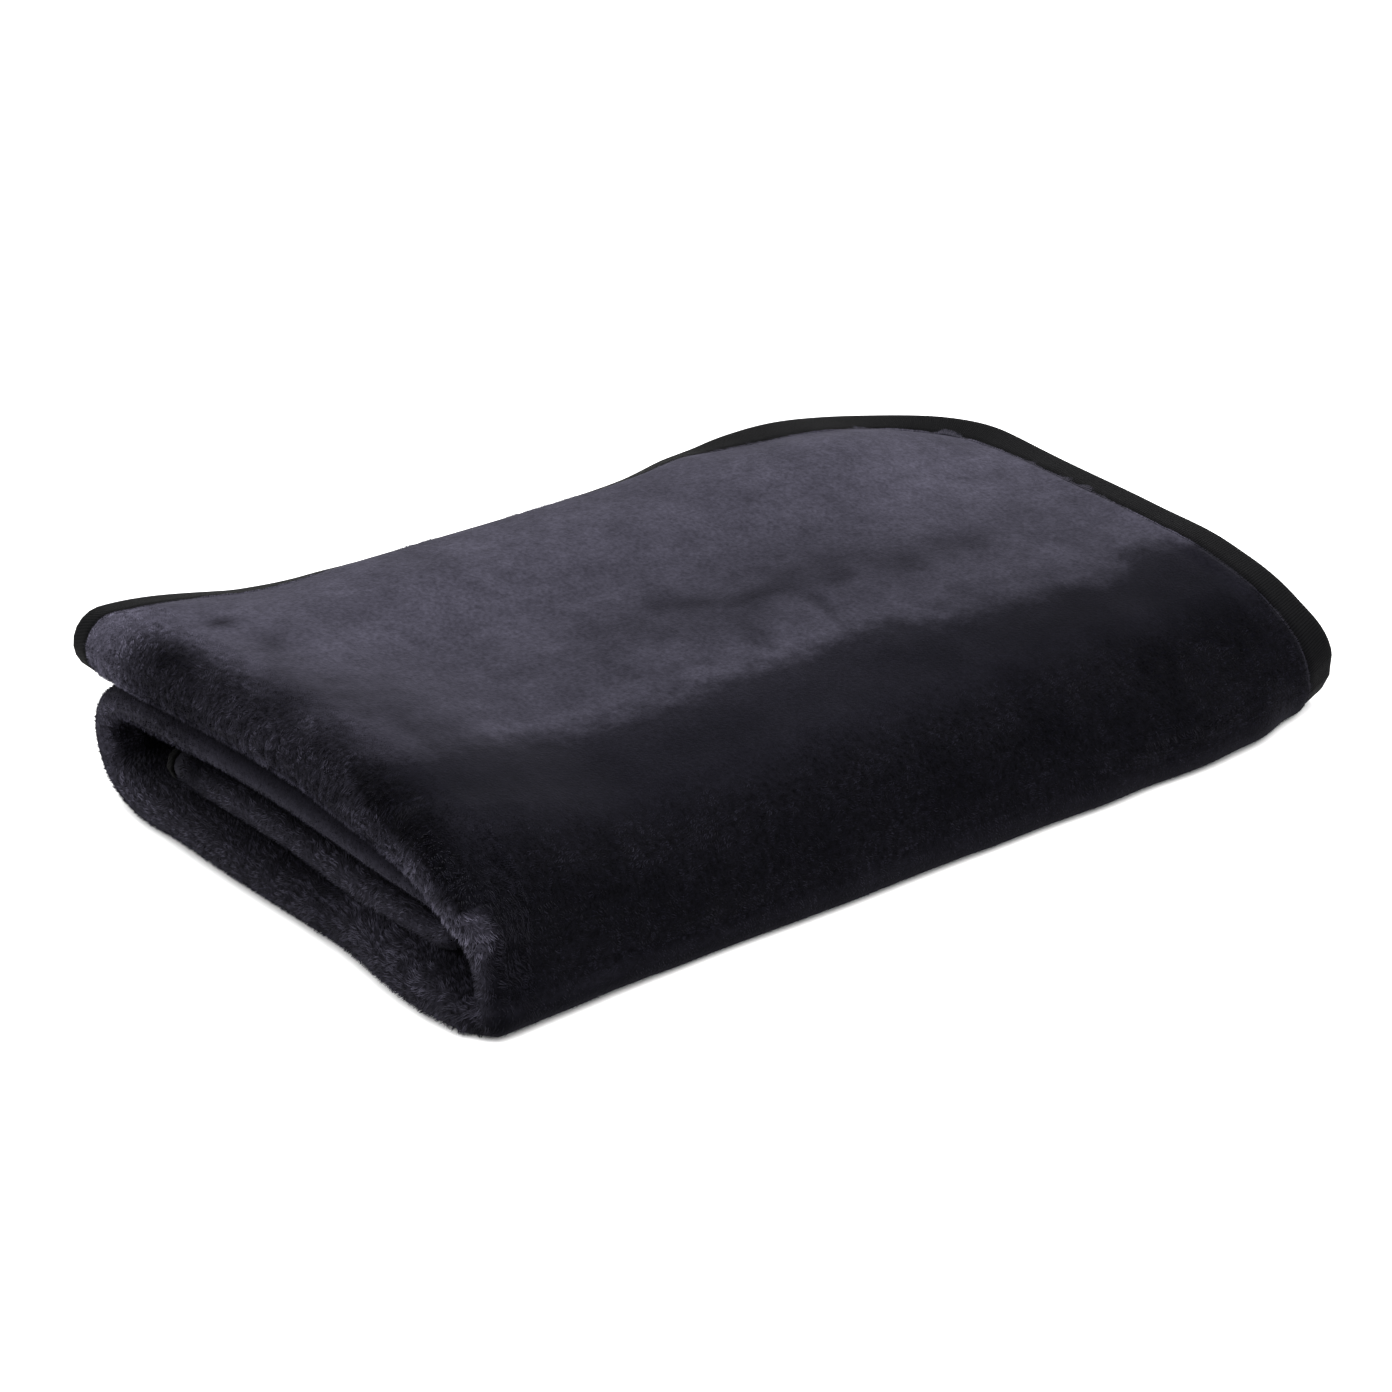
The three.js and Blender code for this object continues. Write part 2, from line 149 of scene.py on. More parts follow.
fine_rows = np.linspace(0, last_bend, last_bend * points_a_bend + 1)
fine_steps = np.linalg.norm(np.diff(through(sections["middle"], fine_rows)[:, :2], axis=0), axis=1)
fine_distances = np.concatenate([[0], np.cumsum(fine_steps)])
cloth_width = float(fine_distances[-1])

# Towards the open end the top stands up in one hump, and the front is pressed out below it. The rows, which
# count the bends from the free edge, say where each begins and is full.
lift = {"height": 10.0, "x": 372.0, "spread": 66.0, "rows": 2.6, "thicker": 0.1}
bow = {"depth": 12.0, "x": 372.0, "spread": 58.0, "upper rows": (5.5, 7.5), "lower rows": (11.5, 9.5)}
# The foot of the front draws in and out along its length: x, spread and how far back.
foot_line = ((98, 52, 4.6), (262, 45, -1.6), (357, 27, 5.2), (426, 22, -4.4))
foot_rows = {"upper": (6.5, 8.5), "lower": (12.0, 10.0)}
# The top is fuller along its back, and most of all towards the folded end.
full_back = {"height": 2.1, "near height": 2.6, "higher": 0.7, "thicker": 0.3}
full_back_area = {"x": (60.0, 120.0), "near x": (335.0, 305.0), "rows": 2.2}


def doubled(at, x):
    """y, z and half thickness of the doubled cloth at a row and an x."""
    settled = ease((x - through(fold_starts, at)[..., 0]) / near_settles)[..., None]
    opened = ramp(x, *far_settles)[..., None]
    blend = through(sections["near"], at) * (1 - settled) + through(sections["middle"], at) * settled
    blend = blend * (1 - opened) + through(sections["far"], at) * opened
    lifted = lift["height"] * mound(x, lift["x"], lift["spread"]) * ease(1 - at / lift["rows"])
    bowed = ramp(at, *bow["upper rows"]) * ramp(at, *bow["lower rows"])
    bowed = bowed * bow["depth"] * mound(x, bow["x"], bow["spread"])
    at_foot = ramp(at, *foot_rows["upper"]) * ramp(at, *foot_rows["lower"])
    forward = bowed - at_foot * sum(back * mound(x, place, reach) for place, reach, back in foot_line)
    fuller = full_back["height"] + full_back["near height"] * ramp(x, *full_back_area["near x"])
    fuller = fuller * ramp(x, *full_back_area["x"]) * ease(1 - at / full_back_area["rows"])
    higher = lifted + full_back["higher"] * fuller
    thicker = lift["thicker"] * lifted + full_back["thicker"] * fuller
    return blend + np.stack([-forward, higher, thicker], axis=-1)


def edge_inset(u, v):
    """Distance in from the cloth's rounded edge, no more than the corners' radius."""
    short_u = np.maximum(corner_radius - np.minimum(u, cloth_length - u), 0)
    short_v = np.maximum(corner_radius - np.minimum(v, cloth_width - v), 0)
    return corner_radius - np.hypot(short_u, short_v)


# Where the binding shows wider, or narrower below 0: by how much, and where in u and in v that begins and is
# full. It is wider round the far corner, and narrower on the top's near corner and on the flap's outer ply.
tape_changes = (
    (4.0, (165, 105), (340, 280)),
    (-1.2, (474, 486), (60, 20)),
    (-8.0, (440, 460), (940, 970)),
)
tape_changes_end = (600, 540)


def tape_reach(u, v):
    """How far in the binding shows."""
    change = sum(wider * ramp(u, *by_u) * ramp(v, *by_v) for wider, by_u, by_v in tape_changes)
    return tape_width + change * ramp(u, *tape_changes_end)


# The top's bound edge curls under at the back and dips beside the far corner, and the open end is turned up
# a little at the foot.
on_top = {"u": (480, 420), "v": (300, 200)}
curl_under = {"depth": 4.5, "reach": 13.0, "far u": (130, 200), "near u": (410, 350)}
corner_dip = {"depth": 5.6, "inset": 19.0, "reach": 14.0, "u": (175, 115), "v": (110, 40)}
foot_turn = {"height": 7.0, "u": (22, 0), "v": 298.0, "reach": 24.0}


def sinking(u, v):
    """How far the cloth lies down at its bound edge."""
    inset = edge_inset(u, v)
    curl = curl_under["depth"] * ramp(u, *curl_under["far u"]) * ramp(u, *curl_under["near u"])
    curl = curl * mound(inset, 0, curl_under["reach"])
    beside = ramp(u, *corner_dip["u"]) * ramp(v, *corner_dip["v"])
    dip = corner_dip["depth"] * beside * mound(inset, corner_dip["inset"], corner_dip["reach"])
    turned_up = foot_turn["height"] * ramp(u, *foot_turn["u"]) * mound(v, foot_turn["v"], foot_turn["reach"])
    return ramp(v, *on_top["v"]) * ramp(u, *on_top["u"]) * (curl + dip) - turned_up


# Low on the front the folded end stands out further: by how much, and between which rows.
near_foot = {"out": 8.0, "upper rows": (9.2, 10.2), "lower rows": (11.8, 10.9)}


def folded_end(u, at):
    """The lengthways fold: where it starts, its radius, the first ply's length and the turn round it."""
    out = near_foot["out"] * ramp(at, *near_foot["upper rows"]) * ramp(at, *near_foot["lower rows"])
    start = through(fold_starts, at)[..., 0] - out
    radius = through(sections["near"], at)[..., 2] - pile_to_pile / 2
    ply = open_end - start
    return start, radius, ply, np.clip((u - ply) / (math.pi * radius), 0, 1) * math.pi


def fold(u, v):
    """Where the middle of the cloth's thickness lies, in the folds' own frame."""
    at = np.interp(v, fine_distances, fine_rows)
    start, radius, ply, angle = folded_end(u, at)
    arc = math.pi * radius
    longer = (inner_edge["elsewhere"] - inner_edge["under top"]) * ramp(v, *inner_edge["changes"])
    end = inner_edge["under top"] + longer
    inner = start + (end - start) * (u - ply - arc) / (cloth_length - ply - arc)
    x = np.where(u < ply, open_end - u, np.where(u > ply + arc, inner, start - radius * np.sin(angle)))
    here = doubled(at, x)
    step = 0.01
    run = doubled(np.minimum(at + step, last_bend), x) - doubled(np.maximum(at - step, 0), x)
    away = np.stack([run[..., 1], -run[..., 0]], axis=-1)
    away /= np.linalg.norm(away, axis=-1, keepdims=True)
    out = ((here[..., 2] - pile_to_pile / 2) * np.cos(angle))[..., None]
    lies = np.concatenate([x[..., None], here[..., :2] + away * out], axis=-1)
    lies[..., 2] -= sinking(np.where(u < ply, u, ply), v)
    return lies


def soft_noise(u, v, size, seed):
    """Soft random swells between -1 and 1, about size millimetres wide."""
    span = 1300
    margin = 120
    spare = 4
    count = int(span / size) + spare
    lattice = np.random.default_rng(seed).uniform(-1, 1, (count, count))
    a = (u + margin) / size
    b = (v + margin) / size
    i = a.astype(int)
    j = b.astype(int)
    a = ease(a - i)
    b = ease(b - j)
    low = lattice[i, j] * (1 - a) + lattice[i + 1, j] * a
    high = lattice[i, j + 1] * (1 - a) + lattice[i + 1, j + 1] * a
    return low * (1 - b) + high * b


def with_patches(field, u, v, patches):
    """Adds soft patches to a field: u, v, reach along u, reach along v, turn in degrees and how much."""
    for at_u, at_v, reach_u, reach_v, turn, rise in patches:
        c = math.cos(math.radians(turn))
        s = math.sin(math.radians(turn))
        a = ((u - at_u) * c + (v - at_v) * s) / reach_u
        b = ((v - at_v) * c - (u - at_u) * s) / reach_v
        field = field + rise * np.exp(-a * a - b * b)
    return field


# The outer face is uneven all over: height, size and seed. On top of that come soft swells and dents: u, v,
# reach along u, reach along v, turn in degrees and height. They end inside the folds and at the binding.
uneven_layers = ((0.55, 46, 3), (0.28, 17, 4))
swells = (
    (468, 25, 26, 16, 10, 1.2),
    (446, 70, 14, 32, 20, -1.3),
    (420, 150, 30, 26, -30, 1.0),
    (330, 60, 70, 22, -8, 0.9),
    (250, 128, 80, 12, 6, -0.8),
    (120, 146, 46, 10, 10, -0.8),
    (214, 162, 6, 16, 0, -0.7),
    (90, 90, 50, 26, 12, 0.8),
    (150, 235, 60, 20, 4, 0.8),
    (330, 240, 60, 24, -4, 0.7),
    (60, 238, 30, 24, 30, -1.0),
    (20, 200, 5, 60, 0, 0.9),
    (27, 200, 4, 60, 0, -0.7),
)
uneven_area = {"u": (560, 500), "v": (420, 360), "inset": (13, 25)}


def unevenness(u, v):
    """How far the outer face stands out from its even folds, in millimetres."""
    height = sum(rise * soft_noise(u, v, size, seed) for rise, size, seed in uneven_layers)
    height = with_patches(height, u, v, swells)
    height = height * (ramp(u, *uneven_area["u"]) * ramp(v, *uneven_area["v"]))
    return height * ramp(edge_inset(u, v), *uneven_area["inset"])


def outward(u, v, reach=1.5):
    """The outer face's normal."""
    along_u = fold(np.minimum(u + reach, cloth_length), v) - fold(np.maximum(u - reach, 0), v)
    along_v = fold(u, np.minimum(v + reach, cloth_width)) - fold(u, np.maximum(v - reach, 0))
    normal = np.cross(along_u, along_v)
    return normal / np.linalg.norm(normal, axis=-1, keepdims=True)


def in_place(points):
    """From the folds' own frame in millimetres to the blanket's in metres, and never under the floor."""
    points = points + np.array([*folds_corner, 0])
    points[..., 2] = np.maximum(points[..., 2], 0)
    return points * MM


def stations(share, stretches):
    """Positions along a side, from shares of its mesh steps, with each stretch's end and steps."""
    steps = np.cumsum([0] + [count for end, count in stretches])
    return np.interp(share * steps[-1], steps, [0] + [end for end, count in stretches])


def rounded(u, v):
    """Bends the square's corners round. Gives u, v and the distance in from the edge."""
    in_u = np.minimum(u, cloth_length - u)
    in_v = np.minimum(v, cloth_width - v)
    a = np.clip(1 - in_u / corner_radius, 0, None)
    b = np.clip(1 - in_v / corner_radius, 0, None)
    ring = np.maximum(a, b)
    small = np.minimum(a, b) / np.maximum(ring, 1e-9)
    turn = np.where(a >= b, small, 2 - small) * math.pi / 4
    in_corner = (a > 0) & (b > 0)
    round_u = np.where(in_corner, corner_radius * (1 - ring * np.cos(turn)), in_u)
    round_v = np.where(in_corner, corner_radius * (1 - ring * np.sin(turn)), in_v)
    u = np.where(u > cloth_length / 2, cloth_length - round_u, round_u)
    v = np.where(v > cloth_width / 2, cloth_width - round_v, round_v)
    return u, v, np.minimum(in_u, in_v)


# The binding presses the cloth flat, and beside it the cloth is a little proud: half the thickness, and where
# that ends, measured in from the binding's inner edge.
bound_half = {"thickness": 1.0, "leaves": (-1.0, 2.5)}
proud = {"height": 0.45, "inset": 5.5, "reach": 6.0}


def half_thickness(inset):
    """Half the cloth's thickness, by the distance in from the binding's inner edge."""
    fuller = pile_to_pile / 2 - bound_half["thickness"]
    fuller = fuller + proud["height"] * mound(inset, proud["inset"], proud["reach"])
    return bound_half["thickness"] + fuller * ramp(inset, *bound_half["leaves"])


# Where the top changes from light to dark, as u and v along the border between them: above it the brushed nap
# with painted sheen, below it painted shade down the slope. The change takes some millimetres and wavers: how
# far, size and seed.
nap_and_sheen_border = np.array((
    (0, 213), (10, 211), (22, 206), (28, 199), (40, 199), (58, 201), (72, 213), (84, 209), (96, 211),
    (120, 211), (144, 206), (168, 207), (180, 205), (192, 201), (204, 193), (216, 192), (240, 194),
    (288, 195), (312, 192), (336, 197), (348, 196), (384, 195), (396, 190), (420, 193), (432, 194),
    (456, 197), (470, 196), (560, 198),
), float)
border_width = 22.0
border_layers = ((2.4, 19, 7), (1.2, 8, 8))

# Patches where the nap lies over, and patches of painted light and shade, such as the bright near tip and the
# shaded strip along the top of the folded end: u, v, reach along u, reach along v, turn in degrees and how
# much lighter.
nap_and_light_patches = (
    (489, 68, 11, 28, 0, -0.40),
    (480, 165, 12, 50, 0, -0.12),
    (80, 110, 60, 50, 0, 0.21),
    (14, 175, 16, 50, 0, 0.20),
    (470, 258, 16, 14, 0, 0.12),
    (494, 16, 16, 24, 0, 1.2),
    (462, 135, 26, 40, 20, -0.12),
    (446, 184, 30, 20, 0, -0.20),
    (452, 48, 7, 4, 0, -0.42),
    (444, 78, 10, 12, 0, -0.22),
    (285, 126, 46, 12, 5, -0.13),
    (205, 138, 40, 14, 8, -0.12),
    (120, 148, 34, 12, 12, -0.13),
    (214, 160, 4, 14, 0, -0.1),
    (258, 171, 5, 7, 40, -0.16),
    (220, 150, 190, 26, 0, -0.10),
    (300, 160, 16, 8, 0, 0.12),
    (380, 182, 40, 6, 0, 0.1),
    (150, 192, 30, 9, 0, -0.1),
    (60, 100, 16, 10, 0, -0.06),
    (24, 250, 10, 50, 0, 0.10),
    (52, 258, 22, 12, 0, -0.20),
    (104, 262, 14, 9, 0, -0.20),
    (40, 25, 30, 20, 0, 0.12),
    (365, 125, 50, 30, 0, 0.10),
    (240, 180, 40, 22, 0, 0.10),
    (263, 180, 2.2, 7, 18, -0.24),
    (295, 178, 2.2, 5, 27, -0.22),
    (218, 174, 2.5, 13, -20, -0.17),
    (306, 184, 6, 6, 0, 0.14),
    (247, 137, 24, 6, -19, -0.13),
    (187, 149, 12, 6, 0, -0.12),
)

# How light the colour is, by v, as painted light and shade with the nap: lit over the top, shaded down the
# front and black along the underside of the foot, and round the folded end lit on the folds and shaded
# between them.
front_light_and_shade = np.array((
    (0, 0.44), (40, 0.50), (80, 0.48), (110, 0.40), (140, 0.35), (165, 0.37), (185, 0.37), (205, 0.34),
    (215, 0.22), (228, 0.17), (245, 0.20), (265, 0.24), (280, 0.16), (290, 0.185), (300, 0.27), (302.4, 0.29),
    (303.8, 0.01), (350, 0.01), (400, 0.5),
))
end_light_and_shade = np.array((
    (0, 1.4), (28, 1.3), (46, 0.55), (60, 0.22), (84, 0.20), (105, 0.30), (140, 0.40), (190, 0.28),
    (225, 0.42), (250, 0.75), (268, 1.05), (278, 1.0), (286, 0.5), (298, 0.4), (320, 0.38), (350, 0.38),
    (400, 0.22), (500, 0.29), (560, 0.6), (600, 0.9), (640, 0.5), (700, 0.27), (760, 0.26), (820, 0.32),
    (850, 0.38), (875, 0.41), (920, 0.27), (960, 0.37), (986, 0.12), (1008, 0.1),
))
nap_layers = ((0.07, 23, 5), (0.05, 9, 6))
nap_limits = (0.02, 1.2)

# The folded end's painted light and shade begins at one u, a little further on below the shoulder and sooner
# at the foot: by how much, and where in v that begins and is full. The underside and the inner plies have it
# all over.
end_begins = {"u": 488.0, "over": 9.0, "further": 3.0, "further v": (200, 230), "sooner": 14.0}
foot_end_light_area = {"upper v": (267, 275), "lower v": (330, 290)}
inner_end_light_area = {"v": (352, 368), "end v": (306, 318), "end u": (474, 482)}

# Where the nap's colour is darker: by what share, and where in u and v. The front darkens towards the open
# end, and the hollow of the turn at the back is filled with painted shade.
far_front = {"darker": 0.4, "u": (300, 60), "v": (180, 240)}
hollow_turn_shade = {"darker": 0.93, "u": (496, 502), "upper v": (535, 555), "lower v": (602, 586)}

# Round the folds of the inner plies painted shade darkens each fold towards the gaps between them, but for
# one
# lit ridge: how far round the fold, in radians, and its reach. They change in the middle of the folds, in the
# turn and on the underside.
ridge = {"round": 1.6, "reach": 0.75, "darker": 0.85, "v": (300, 315)}
ridge_middle = {"more": 0.5, "upper v": (640, 670), "lower v": (842, 822)}
ridge_turn = {"more": 0.5, "v": 580.0, "reach": 34.0}
ridge_under = {"more": 0.4, "more reach": 0.35, "v": (430, 370)}


def by_the_end(u, v):
    """1 on the folded end and on the inner plies, 0 on the top and front."""
    at_foot = ramp(v, *foot_end_light_area["upper v"]) * ramp(v, *foot_end_light_area["lower v"])
    begins = end_begins["u"] + end_begins["further"] * ramp(v, *end_begins["further v"])
    begins = begins - end_begins["sooner"] * at_foot
    inner_end = ramp(v, *inner_end_light_area["end v"]) * ramp(u, *inner_end_light_area["end u"])
    inside = np.maximum(ramp(v, *inner_end_light_area["v"]), inner_end)
    return np.maximum(ease((u - begins) / end_begins["over"]), inside)


def fold_gap_shade(u, v):
    """How much painted shade lies round the folds of the inner plies, from 0 to 1."""
    angle = folded_end(u, np.interp(v, fine_distances, fine_rows))[3]
    under = ramp(v, *ridge_under["v"])
    lit = ridge["round"] + ridge_under["more"] * under
    lit = lit + ridge_middle["more"] * ramp(v, *ridge_middle["upper v"]) * ramp(v, *ridge_middle["lower v"])
    lit = lit + ridge_turn["more"] * mound(v, ridge_turn["v"], ridge_turn["reach"])
    reach = ridge["reach"] + ridge_under["more reach"] * under
    return ramp(v, *ridge["v"]) * (1 - mound(angle, lit, reach))


def nap_light_and_shade(u, v):
    """How light the pile's colour is, from 0 to about 1, with no border: painted light and shade, with the
    nap's own patches and mottle.
    """
    light = np.interp(v, front_light_and_shade[:, 0], front_light_and_shade[:, 1])
    light = light * (1 - far_front["darker"] * ramp(u, *far_front["u"]) * ramp(v, *far_front["v"]))
    light = with_patches(light, u, v, nap_and_light_patches)
    light = light + sum(strength * soft_noise(u, v, size, seed) for strength, size, seed in nap_layers)
    at_end = by_the_end(u, v)
    light = light * (1 - at_end) + np.interp(v, end_light_and_shade[:, 0], end_light_and_shade[:, 1]) * at_end
    # Painted shade in the hollow of the turn.
    hollow_shade = ramp(v, *hollow_turn_shade["upper v"]) * ramp(v, *hollow_turn_shade["lower v"]) * ramp(u, *hollow_turn_shade["u"])
    light = light * (1 - hollow_turn_shade["darker"] * hollow_shade)
    return np.clip(light * (1 - ridge["darker"] * at_end * fold_gap_shade(u, v)), *nap_limits)


def stroke_and_sheen(u, v):
    """Where the pile is stroked back and lit by painted sheen, from 0 to 1 across the border."""
    border = np.interp(u, nap_and_sheen_border[:, 0], nap_and_sheen_border[:, 1])
    border = border + sum(sway * soft_noise(u, v, size, seed) for sway, size, seed in border_layers)
    back = np.clip(0.5 + (border - v) / border_width, 0, 1)
    at_end = by_the_end(u, v)
    return back * (1 - at_end) + at_end


# Where the pile stands up, and how far: round the folded end, less on the smooth middle fold and the near
# corner, and down the front.
end_stands_u = (466, 492)
smooth_middle = {"less": 0.75, "upper v": (650, 690), "lower v": (836, 816)}
smooth_corner = {"less": 0.5, "v": (50, 20)}
front_stands = {"share": 0.8, "upper v": (236, 266), "lower v": (312, 296)}


def standing(u, v):
    """How far the pile stands up, from 0 on the stroked top to 1 round the folded end."""
    front = ramp(v, *front_stands["upper v"]) * ramp(v, *front_stands["lower v"])
    middle = ramp(v, *smooth_middle["upper v"]) * ramp(v, *smooth_middle["lower v"])
    at_end = 1 - smooth_middle["less"] * middle - smooth_corner["less"] * ramp(v, *smooth_corner["v"])
    return np.maximum(ramp(u, *end_stands_u) * at_end, front_stands["share"] * front)


# The mesh steps along each side of the cloth: where each stretch ends and how many it has. They are closest
# beside the binding and in the folds that show.
cloth_stretches_u = (
    (11.5, 1), (13, 1), (15, 1), (16.5, 1), (18, 1), (20, 1), (66, 13), (440, 92), (570, 52), (900, 30),
    (948, 8), (953, 2), (955, 1), (956.5, 1), (cloth_length, 1),
)
cloth_stretches_v = (
    (11.5, 1), (13, 1), (15, 1), (16.5, 1), (18, 1), (20, 1), (66, 13), (296, 60), (300, 4), (307, 14),
    (314, 5), (400, 16), (545, 20), (625, 24), (780, 18), (860, 24), (942, 10), (988, 8), (993, 2), (995, 1),
    (996.4, 1), (cloth_width, 1),
)
inner_face_map = 1100

flat = bmesh.new()
bmesh.ops.create_grid(
    flat,
    x_segments=sum(count for end, count in cloth_stretches_u),
    y_segments=sum(count for end, count in cloth_stretches_v),
    size=0.5,
)
bmesh.ops.solidify(flat, geom=flat.faces[:], thickness=0.01)
bmesh.ops.recalc_face_normals(flat, faces=flat.faces[:])
cloth_mesh = bpy.data.meshes.new("plush_cloth")
flat.to_mesh(cloth_mesh)
flat.free()
flat_points = np.empty(len(cloth_mesh.vertices) * 3)
cloth_mesh.vertices.foreach_get("co", flat_points)
flat_points = flat_points.reshape(-1, 3)
side = np.where(flat_points[:, 2] > flat_points[:, 2].mean(), 1.0, -1.0)
square_u = stations(0.5 + flat_points[:, 0], cloth_stretches_u)
square_v = stations(0.5 + flat_points[:, 1], cloth_stretches_v)
cloth_u, cloth_v, cloth_inset = rounded(square_u, square_v)
from_tape = cloth_inset - tape_reach(cloth_u, cloth_v)
raise_by = side * half_thickness(from_tape) + np.where(side > 0, unevenness(cloth_u, cloth_v), 0)
cloth_points = fold(cloth_u, cloth_v) + outward(cloth_u, cloth_v) * raise_by[:, None]
cloth_mesh.vertices.foreach_set("co", in_place(cloth_points).ravel())
cloth_map = cloth_mesh.uv_layers.new(name="flat")
loop_vertices = np.empty(len(cloth_mesh.loops), int)
cloth_mesh.loops.foreach_get("vertex_index", loop_vertices)
flat_map = np.stack([cloth_u, cloth_v + np.where(side > 0, 0, inner_face_map)], axis=-1) * MM
cloth_map.data.foreach_set("uv", flat_map[loop_vertices].ravel())
# The outer face carries painted light and shade and, under the standing pile, painted shade; the inner face
# takes even values.
for label, outer, inner in (("nap_light_and_shade", nap_light_and_shade, 0.3), ("stroke_and_sheen", stroke_and_sheen, 1.0), ("under", standing, 0.0)):
    values = np.where(side > 0, outer(cloth_u, cloth_v), inner)
    cloth_mesh.attributes.new(label, "FLOAT", "POINT").data.foreach_set("value", values)
cloth_mesh.polygons.foreach_set("use_smooth", [True] * len(cloth_mesh.polygons))
cloth_mesh.update()
cloth = bpy.data.objects.new("plush_cloth", cloth_mesh)
bpy.context.scene.collection.objects.link(cloth)

# The nap's colour with painted light and shade: painted shade where it is not stroked back, painted sheen
# where it is, with a frayed border, and mottled all over.
nap_light_colour = bpy.data.node_groups.new("nap_light_colour", "ShaderNodeTree")
nap_light_colour.interface.new_socket(name="Nap_light_and_shade", in_out="INPUT", socket_type="NodeSocketFloat")
nap_light_colour.interface.new_socket(name="Stroke_and_sheen", in_out="INPUT", socket_type="NodeSocketFloat")
nap_light_colour.interface.new_socket(name="Color", in_out="OUTPUT", socket_type="NodeSocketColor")
nodes = nap_light_colour.nodes
links = nap_light_colour.links
given = nodes.new("NodeGroupInput")
taken = nodes.new("NodeGroupOutput")
where = nodes.new("ShaderNodeTexCoord")
breakup = nodes.new("ShaderNodeTexNoise")
breakup.inputs["Scale"].default_value = 110
breakup.inputs["Detail"].default_value = 7
breakup.inputs["Roughness"].default_value = 0.72
links.new(where.outputs["Object"], breakup.inputs["Vector"])
frayed = nodes.new("ShaderNodeMath")
frayed.operation = "MULTIPLY_ADD"
links.new(breakup.outputs["Fac"], frayed.inputs[0])
frayed.inputs[1].default_value = 0.9
links.new(given.outputs["Stroke_and_sheen"], frayed.inputs[2])
stroked_and_sheen = nodes.new("ShaderNodeMapRange")
stroked_and_sheen.interpolation_type = "SMOOTHSTEP"
stroked_and_sheen.inputs["From Min"].default_value = 0.52
stroked_and_sheen.inputs["From Max"].default_value = 1.42
stroked_and_sheen.inputs["To Min"].default_value = 0.22
links.new(frayed.outputs[0], stroked_and_sheen.inputs["Value"])
mottled = nodes.new("ShaderNodeMapRange")
mottled.inputs["From Min"].default_value = 0.3
mottled.inputs["From Max"].default_value = 0.7
mottled.inputs["To Min"].default_value = 0.78
mottled.inputs["To Max"].default_value = 1.22
links.new(breakup.outputs["Fac"], mottled.inputs["Value"])
level = nodes.new("ShaderNodeMath")
level.operation = "MULTIPLY"
links.new(given.outputs["Nap_light_and_shade"], level.inputs[0])
links.new(stroked_and_sheen.outputs["Result"], level.inputs[1])
mottled_level = nodes.new("ShaderNodeMath")
mottled_level.operation = "MULTIPLY"
links.new(level.outputs[0], mottled_level.inputs[0])
links.new(mottled.outputs["Result"], mottled_level.inputs[1])
shade = nodes.new("ShaderNodeMix")
shade.data_type = "RGBA"
# A is the painted shade, B the painted sheen of the lit top.
shade.inputs["A"].default_value = (0.0006, 0.0006, 0.0014, 1)
shade.inputs["B"].default_value = (0.0455, 0.0430, 0.0590, 1)
links.new(mottled_level.outputs[0], shade.inputs["Factor"])
links.new(shade.outputs["Result"], taken.inputs["Color"])

violet_sheen = (0.62, 0.60, 0.75, 1)
plush = bpy.data.materials.new("plush")
plush.use_nodes = True
nodes = plush.node_tree.nodes
links = plush.node_tree.links
shader = nodes["Principled BSDF"]
shader.inputs["Roughness"].default_value = 0.95
shader.inputs["Specular IOR Level"].default_value = 0.02
shader.inputs["Sheen Weight"].default_value = 0.03
shader.inputs["Sheen Roughness"].default_value = 0.45
shader.inputs["Sheen Tint"].default_value = violet_sheen
light_and_shade_reading = nodes.new("ShaderNodeAttribute")
light_and_shade_reading.attribute_name = "nap_light_and_shade"
coloured = nodes.new("ShaderNodeGroup")
coloured.node_tree = nap_light_colour
links.new(light_and_shade_reading.outputs["Fac"], coloured.inputs["Nap_light_and_shade"])
laid_back_and_lit = nodes.new("ShaderNodeAttribute")
laid_back_and_lit.attribute_name = "stroke_and_sheen"
links.new(laid_back_and_lit.outputs["Fac"], coloured.inputs["Stroke_and_sheen"])
under = nodes.new("ShaderNodeAttribute")
under.attribute_name = "under"
grain = nodes.new("ShaderNodeTexNoise")
grain.inputs["Scale"].default_value = 520
grain.inputs["Detail"].default_value = 3
grain.inputs["Roughness"].default_value = 0.6
specks = nodes.new("ShaderNodeMapRange")
specks.inputs["From Min"].default_value = 0.32
specks.inputs["From Max"].default_value = 0.68
specks.inputs["To Min"].default_value = 0.72
specks.inputs["To Max"].default_value = 1.28
links.new(grain.outputs["Fac"], specks.inputs["Value"])
# The cloth under standing pile gets painted shade, over its random grain.
shaded = nodes.new("ShaderNodeMath")
shaded.operation = "MULTIPLY_ADD"
links.new(under.outputs["Fac"], shaded.inputs[0])
shaded.inputs[1].default_value = -0.68
links.new(specks.outputs["Result"], shaded.inputs[2])
dimmed = nodes.new("ShaderNodeVectorMath")
dimmed.operation = "SCALE"
links.new(coloured.outputs["Color"], dimmed.inputs[0])
links.new(shaded.outputs[0], dimmed.inputs["Scale"])
links.new(dimmed.outputs["Vector"], shader.inputs["Base Color"])
where = nodes.new("ShaderNodeTexCoord")
fibres = nodes.new("ShaderNodeTexNoise")
fibres.inputs["Scale"].default_value = 900
fibres.inputs["Detail"].default_value = 3
links.new(where.outputs["Object"], fibres.inputs["Vector"])
links.new(where.outputs["Object"], grain.inputs["Vector"])
relief = nodes.new("ShaderNodeBump")
relief.inputs["Strength"].default_value = 0.5
relief.inputs["Distance"].default_value = 0.0008
links.new(fibres.outputs["Fac"], relief.inputs["Height"])
links.new(relief.outputs["Normal"], shader.inputs["Normal"])
cloth_mesh.materials.append(plush)

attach(cloth, "root")
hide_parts("fleece_cloth")

